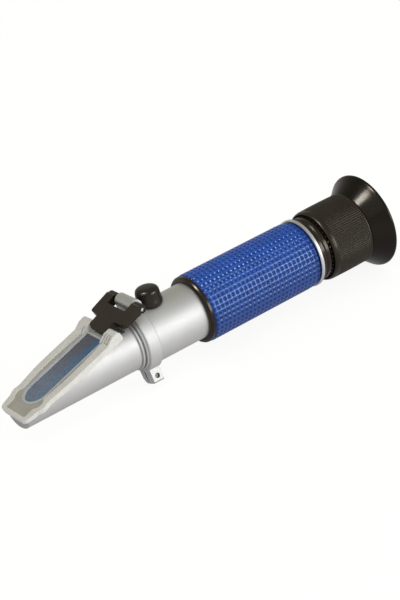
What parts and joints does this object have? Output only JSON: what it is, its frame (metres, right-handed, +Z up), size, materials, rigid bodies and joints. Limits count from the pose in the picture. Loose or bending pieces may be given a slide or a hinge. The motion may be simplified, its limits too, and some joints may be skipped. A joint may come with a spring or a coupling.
{
  "type": "refractometer",
  "caption": "Handheld refractometer: slanted prism nose with hinged daylight plate, satin tube, calibration screw under a rubber cap, knurled blue grip and focusing eyepiece with flared eyecup.",
  "frame": {"origin": "on the optical axis, in the middle of the eyepiece socket bore", "axes": "+X along the optical axis from the prism nose to the eyepiece, +Z up through the cover hinge and the calibration screw, +Y completes the right-handed frame and points away from the side the picture shows"},
  "size_m": [0.165, 0.0378, 0.0378],
  "materials": {
    "satin_aluminium": "satin bead-blasted and clear anodised",
    "bright_trim": "bright turned",
    "prism_glass": "polished, blue tinted",
    "seal_rubber": "matt black",
    "screw_steel": "plain machined",
    "black_anodised": "matt black anodised",
    "brass": "machined",
    "bimetal": "rolled strip",
    "lens_glass": "polished and coated",
    "gloss_black": "moulded, semi-gloss",
    "link_black": "moulded, satin",
    "cap_rubber": "glossy moulded rubber",
    "blue_rubber": "knurled moulded rubber",
    "ribbed_rubber": "fine ribbed matt rubber",
    "cup_rubber": "soft smooth rubber",
    "frosted_plastic": "frosted translucent moulding"
  },
  "bodies": {
    "body": {"nose_body": "satin_aluminium", "prism": "prism_glass", "prism_seal": "seal_rubber", "nose_o_ring": "seal_rubber", "nose_set_screws": "screw_steel", "clamp_ring": "satin_aluminium", "clamp_screw": "screw_steel", "main_tube": "satin_aluminium", "objective_carrier": "black_anodised", "carrier_cover": "black_anodised", "cell_spring": "screw_steel", "atc_strip": "bimetal", "atc_screw": "screw_steel", "baffle_tube": "black_anodised", "reticle_holder": "black_anodised", "reticle": "lens_glass", "reticle_ring": "black_anodised", "calibration_bush": "gloss_black", "grip_sleeve": "gloss_black", "grip": "blue_rubber", "trim_ring": "bright_trim", "eyepiece_housing": "gloss_black", "snap_ring": "screw_steel"},
    "link": {"hinge_link": "link_black", "link_pin": "screw_steel"},
    "plate": {"cover_plate": "frosted_plastic", "plate_pin": "screw_steel"},
    "cap": {"screw_cap": "cap_rubber"},
    "cal_screw": {"calibration_screw": "brass"},
    "objective": {"objective_cell": "brass", "objective_lens": "lens_glass", "lens_lock_ring": "black_anodised"},
    "focus": {"focus_ring": "gloss_black", "focus_sleeve": "ribbed_rubber", "eyecup_ring": "gloss_black", "eyecup": "cup_rubber"},
    "eyepiece": {"lens_barrel": "black_anodised", "field_lens": "lens_glass", "lens_spacer": "black_anodised", "eye_lens": "lens_glass", "lens_retainer": "black_anodised", "guide_screw": "screw_steel"}
  },
  "joints": [
    {"name": "cover_flip", "type": "hinge", "parent": "body", "child": "link", "pos_m": [-0.1019, 0, 0.0152], "axis": [0, 1, 0], "range_deg": [0, 105]},
    {"name": "plate_tilt", "type": "hinge", "parent": "link", "child": "plate", "pos_m": [-0.1146, 0, 0.01075], "axis": [0, 1, 0], "range_deg": [0, 12]},
    {"name": "cap_pull", "type": "slide", "parent": "body", "child": "cap", "axis": [0, 0, 1], "range_m": [0, 0.008]},
    {"name": "calibration_turn", "type": "hinge", "parent": "body", "child": "cal_screw", "pos_m": [-0.093, 0, 0.012], "axis": [0, 0, 1], "range_deg": [-180, 180]},
    {"name": "objective_shift", "type": "slide", "parent": "body", "child": "objective", "axis": [0, 0, 1], "range_m": [-0.00025, 0.00025]},
    {"name": "focus_turn", "type": "hinge", "parent": "body", "child": "focus", "pos_m": [0, 0, 0], "axis": [1, 0, 0], "range_deg": [-90, 90]},
    {"name": "eyepiece_travel", "type": "slide", "parent": "body", "child": "eyepiece", "axis": [1, 0, 0], "range_m": [-0.00225, 0.00225]}
  ],
  "couplings": [
    {"joint": "calibration_turn", "follows": "objective_shift", "rad_per_m": -12566},
    {"joint": "focus_turn", "follows": "eyepiece_travel", "rad_per_m": 698.13}
  ]
}
